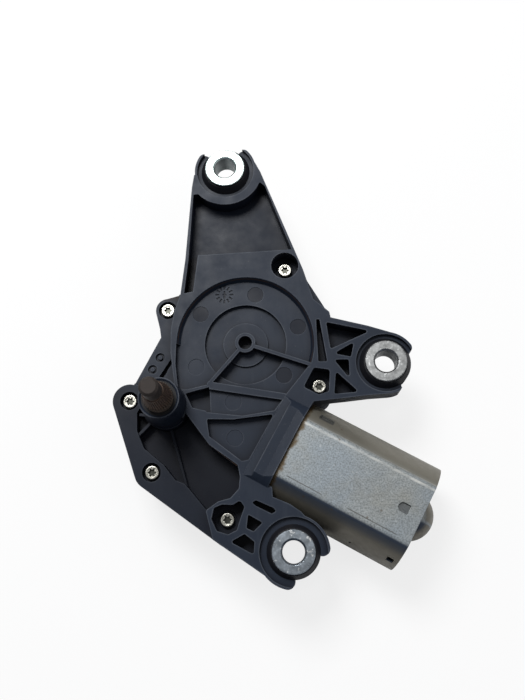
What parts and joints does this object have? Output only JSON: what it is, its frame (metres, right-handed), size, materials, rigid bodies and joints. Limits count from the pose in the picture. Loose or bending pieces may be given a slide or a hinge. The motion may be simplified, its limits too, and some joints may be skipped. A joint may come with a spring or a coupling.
{
  "type": "wiper motor",
  "caption": "Rear-window wiper motor: ribbed dark gear housing on three grommeted arms, knurled output shaft in a tower, flat-sided drawn steel motor can.",
  "frame": {"origin": "on the output shaft's axis, at the foot of its threaded stub", "axes": "+Z out along the output shaft, +Y towards the longest mounting arm, +X towards the motor can's side"},
  "size_m": [0.1429, 0.1978, 0.076],
  "materials": {
    "housing_plastic": "moulded glass-filled plastic, satin, faintly blue-black",
    "cover_plastic": "moulded plastic, satin",
    "mount_rubber": "matt black rubber",
    "zinc_plate": "bright zinc plating with mottled grain",
    "can_steel": "drawn sheet steel, dull zinc coat, speckled and slightly rusted",
    "shaft_steel": "knurled steel shaft, browned by rust",
    "bearing_bronze": "sintered bronze",
    "gear_plastic": "natural acetal",
    "gear_steel": "machined steel",
    "pin_steel": "ground steel",
    "magnet_ferrite": "sintered ferrite",
    "core_steel": "laminated steel",
    "copper": "enamelled copper",
    "carbon": "pressed carbon",
    "electrical_plastic": "moulded plastic",
    "contact_metal": "tinned copper alloy",
    "seal_rubber": "moulded rubber"
  },
  "bodies": {
    "housing": {"gear_housing": "housing_plastic", "rear_cover": "cover_plastic", "cover_gasket": "seal_rubber", "cover_screws": "zinc_plate", "mount_grommet_top": "mount_rubber", "mount_grommet_right": "mount_rubber", "mount_grommet_bottom": "mount_rubber", "mount_sleeve_top": "zinc_plate", "mount_sleeve_right": "zinc_plate", "mount_sleeve_bottom": "zinc_plate", "shaft_bush_upper": "bearing_bronze", "shaft_bush_lower": "bearing_bronze", "shaft_seal": "seal_rubber", "lever_pivot_pin": "pin_steel", "pivot_clip": "pin_steel", "wheel_axle": "pin_steel", "wheel_clip": "pin_steel", "motor_can": "can_steel", "magnets": "magnet_ferrite", "motor_bush_front": "bearing_bronze", "motor_bush_middle": "bearing_bronze", "motor_bush_rear": "bearing_bronze", "thrust_pad": "gear_plastic", "brush_holder": "electrical_plastic", "brushes": "carbon", "brush_springs": "pin_steel", "suppression_chokes": "copper", "suppression_capacitor": "electrical_plastic", "contact_carrier": "electrical_plastic", "contact_fingers": "contact_metal", "connector_socket": "electrical_plastic", "connector_terminals": "contact_metal"},
    "output": {"output_shaft": "shaft_steel", "output_pinion": "gear_steel", "thrust_washer": "gear_plastic", "shaft_clip": "pin_steel"},
    "lever": {"sector_lever": "gear_steel", "rod_pin": "pin_steel", "rod_clip": "pin_steel"},
    "rod": {"connecting_rod": "gear_steel"},
    "wheel": {"worm_wheel": "gear_plastic", "crank_pin": "pin_steel", "contact_disc": "contact_metal"},
    "armature": {"armature_shaft": "gear_steel", "armature_core": "core_steel", "armature_windings": "copper", "commutator": "copper"}
  },
  "joints": [
    {"name": "armature_spin", "type": "hinge", "parent": "housing", "child": "armature", "pos_m": [0.01984, -0.00088, -0.046], "axis": [0.8813, -0.4726, 0], "continuous": true},
    {"name": "wheel_spin", "type": "hinge", "parent": "housing", "child": "wheel", "pos_m": [0.03489, 0.02719, -0.046], "axis": [0, 0, 1], "continuous": true},
    {"name": "output_swing", "type": "hinge", "parent": "housing", "child": "output", "pos_m": [0, 0, -0.03], "axis": [0, 0, 1], "range_deg": [0, 110]},
    {"name": "lever_swing", "type": "hinge", "parent": "housing", "child": "lever", "pos_m": [0.02522, -0.0197, -0.055], "axis": [0, 0, 1], "range_deg": [-50, 0]},
    {"name": "rod_swing", "type": "hinge", "parent": "lever", "child": "rod", "pos_m": [0.00883, -0.01774, -0.059], "axis": [0, 0, 1], "range_deg": [0, 50]}
  ],
  "couplings": [
    {"joint": "wheel_spin", "follows": "armature_spin", "ratio": -0.016667},
    {"joint": "lever_swing", "follows": "output_swing", "ratio": -0.45455},
    {"joint": "rod_swing", "follows": "output_swing", "ratio": 0.45455}
  ]
}
